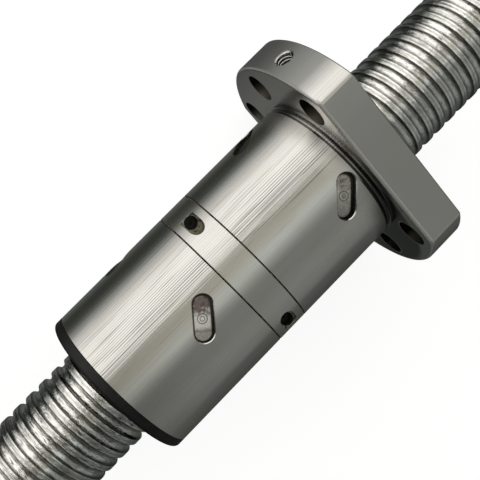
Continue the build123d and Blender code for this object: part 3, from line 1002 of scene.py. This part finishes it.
def stage_mesh(name, points, faces, material, **rays):
    """A part of the stage, and which rays see it."""
    mesh = bpy.data.meshes.new(name)
    mesh.from_pydata(points, [], faces)
    mesh.materials.append(material)
    made = bpy.data.objects.new(name, mesh)
    bpy.context.scene.collection.objects.link(made)
    for ray in ("camera", "diffuse", "glossy", "transmission", "shadow"):
        setattr(made, "visible_" + ray, rays.get(ray, False))
    return made


def glow(name, strength, colour_by_place):
    """A material that only glows, with a colour worked out from the place."""
    material = bpy.data.materials.new(name)
    material.use_nodes = True
    tree = material.node_tree
    tree.nodes.clear()
    place = Out(tree, tree.nodes.new("ShaderNodeTexCoord").outputs["Object"])
    sockets = {"Color": colour_by_place(place), "Strength": strength}
    light = place.node("ShaderNodeEmission", {}, sockets)
    end = tree.nodes.new("ShaderNodeOutputMaterial")
    tree.links.new(light.socket, end.inputs["Surface"])
    return material


def tinted(level, tint):
    return tuple(level * c for c in tint)


# %% The soft light, the tent and the cloth
WHITE_WARM = (1.0, 0.99, 0.955)
BEIGE = (1.0, 0.97, 0.84)
GREENISH = (0.96, 1.0, 0.95)
DARK_GREEN = (0.90, 1.0, 0.88)
LIGHT_Y = 0.5
LIGHT_OUTLINE = ((-0.8, 0), (1.0, 0), (1.0, 1.35), (0.52, 1.25),
                 (0.26, 0.71), (-0.28, 0.71), (-0.45, 1.08), (-0.8, 1.12))
LIGHT_UPWARDS = ((0.0, 0.95), (0.22, 1.0), (0.5, 0.96), (0.6, 0.8), (0.71, 0.7), (0.8, 0.85),
                 (1.0, 0.85))
LIGHT_SIDEWAYS = ((-0.8, 0.35), (-0.45, 0.85), (-0.32, 0.94), (-0.14, 1.0), (0.35, 1.0),
                  (0.66, 0.95), (1.0, 0.6))
LIGHT_STRENGTH = 1.46
TENT_R, TENT_FROM, TENT_TO = 2.2, -2.0, 2.4
TENT_LIGHT = ((-180, 0.20, GREENISH), (-90, 0.05, DARK_GREEN), (0, 0.22, GREENISH), (50, 0.42, BEIGE),
              (72, 0.52, BEIGE), (88, 0.74, GREENISH), (99, 0.44, GREENISH), (108, 0.25, GREENISH),
              (130, 0.26, GREENISH), (150, 0.30, GREENISH), (180, 0.22, GREENISH))
CLOTH_X = (-2.4, 2.6)
CLOTH_Y = (-2.4, 0.7)
CLOTH_Z = FLOOR_Z - 0.2 * MM
CLOTH_LIGHT = ((-1.4, 0.17, GREENISH), (-0.16, 0.11, GREENISH), (-0.06, 0.07, DARK_GREEN),
               (0.0, 0.10, GREENISH), (0.028, 0.16, GREENISH), (0.042, 0.04, DARK_GREEN),
               (0.075, 0.06, DARK_GREEN), (0.105, 0.30, GREENISH), (0.17, 0.76, WHITE_WARM),
               (0.35, 0.95, WHITE_WARM), (0.7, 1.0, WHITE_WARM))


def scaled(colour, factor):
    return colour.node("ShaderNodeVectorMath", {"operation": "SCALE"}, {0: colour, "Scale": factor})


def box_glow(place):
    """The soft light's colour. It dims up to the middle's upper edge, and towards both sides."""
    upwards = ramp(part(place, 2), *[(z, tinted(level, WHITE_WARM)) for z, level in LIGHT_UPWARDS])
    stops = [((x + 1.0) / 2, level) for x, level in LIGHT_SIDEWAYS]
    return scaled(upwards, ramp((part(place, 0) + 1.0) / 2, *stops))


def tent_glow(place):
    """The tent's colour round the axis, fading towards its -X end."""
    stops = [(a / 360 + 0.5, tinted(level, tint)) for a, level, tint in TENT_LIGHT]
    around = ramp(round_the_axis(place) / (2 * pi) + 0.5, *stops)
    along = (part(place, 0) - TENT_FROM) / (TENT_TO - TENT_FROM)
    return scaled(around, ramp(along, (0.0, 0.1), (0.31, 0.55), (0.42, 1.0)))


def cloth_glow(place):
    """The sheet's glow across the object: a painted shadow under it, and painted light towards the
    soft light.
    """
    low, high = CLOTH_Y
    stops = [((y - low) / (high - low), tinted(level, tint)) for y, level, tint in CLOTH_LIGHT]
    return ramp((part(place, 1) - low) / (high - low), *stops)


def tent_shape(steps=48):
    """A tube about the X axis, closed at both ends."""
    turns = [2 * pi * k / steps for k in range(steps)]
    rims = [[(x, TENT_R * cos(a), TENT_R * sin(a)) for a in turns] for x in (TENT_FROM, TENT_TO)]
    walls = [(k, (k + 1) % steps, steps + (k + 1) % steps, steps + k) for k in range(steps)]
    return rims[0] + rims[1], walls + [tuple(range(steps)), tuple(range(steps, 2 * steps))]


def flat_sheet(x_range, y_range, z):
    """A level rectangle, as points and faces."""
    (x0, x1), (y0, y1) = x_range, y_range
    return [(x0, y0, z), (x1, y0, z), (x1, y1, z), (x0, y1, z)], [(0, 1, 2, 3)]


soft_light = glow("soft_light", LIGHT_STRENGTH, box_glow)
light_points = [(x, LIGHT_Y, z) for x, z in LIGHT_OUTLINE]
stage_mesh("soft_light", light_points, [tuple(range(len(light_points)))], soft_light,
           diffuse=True, glossy=True)
stage_mesh("tent", *tent_shape(), glow("tent_cloth", 1.0, tent_glow), diffuse=True, glossy=True)
stage_mesh("shade_sheet", *flat_sheet(CLOTH_X, CLOTH_Y, CLOTH_Z),
           glow("shade_sheet", 1.0, cloth_glow), glossy=True)

# %% The white floor and the world behind it
FLOOR_SPAN = (-4.0, 4.0)


def shows_white(tree):
    """1 for the rays that should find the background white."""
    path = tree.nodes.new("ShaderNodeLightPath")
    names = ("Is Camera Ray", "Is Glossy Ray", "Is Transmission Ray")
    rays = [Out(tree, path.outputs[name]) for name in names]
    total = rays[0] + rays[1] + rays[2]
    return total.maths("MINIMUM", total, 1.0)


def floor_paint():
    """Pale paint that keeps a shadow, plus a glow that lifts it to white."""
    material, shader, _ = new_material("floor_paint")
    tree = material.node_tree
    glowing = shows_white(tree)
    plug(tree, shader.inputs["Base Color"], (0.30, 0.30, 0.30, 1))
    plug(tree, shader.inputs["Roughness"], 0.9)
    plug(tree, shader.inputs["Specular IOR Level"], 0.0)
    plug(tree, shader.inputs["Emission Color"], blend(glowing, (0, 0, 0, 1), (0.88, 0.88, 0.88, 1)))
    plug(tree, shader.inputs["Emission Strength"], 1.0)
    return material


def world_behind():
    world = bpy.data.worlds.new("background")
    bpy.context.scene.world = world
    world.use_nodes = True
    tree = world.node_tree
    tree.nodes.clear()
    shade = blend(shows_white(tree), (0.3, 0.3, 0.3, 1), (1, 1, 1, 1))
    back = shade.node("ShaderNodeBackground", {}, {"Color": shade, "Strength": 1.0})
    end = tree.nodes.new("ShaderNodeOutputWorld")
    tree.links.new(back.socket, end.inputs["Surface"])


stage_mesh("floor", *flat_sheet(FLOOR_SPAN, FLOOR_SPAN, FLOOR_Z - 0.5 * MM), floor_paint(),
           camera=True, diffuse=True, glossy=True, transmission=True, shadow=True)
world_behind()
bpy.context.scene.view_settings.view_transform = "Standard"
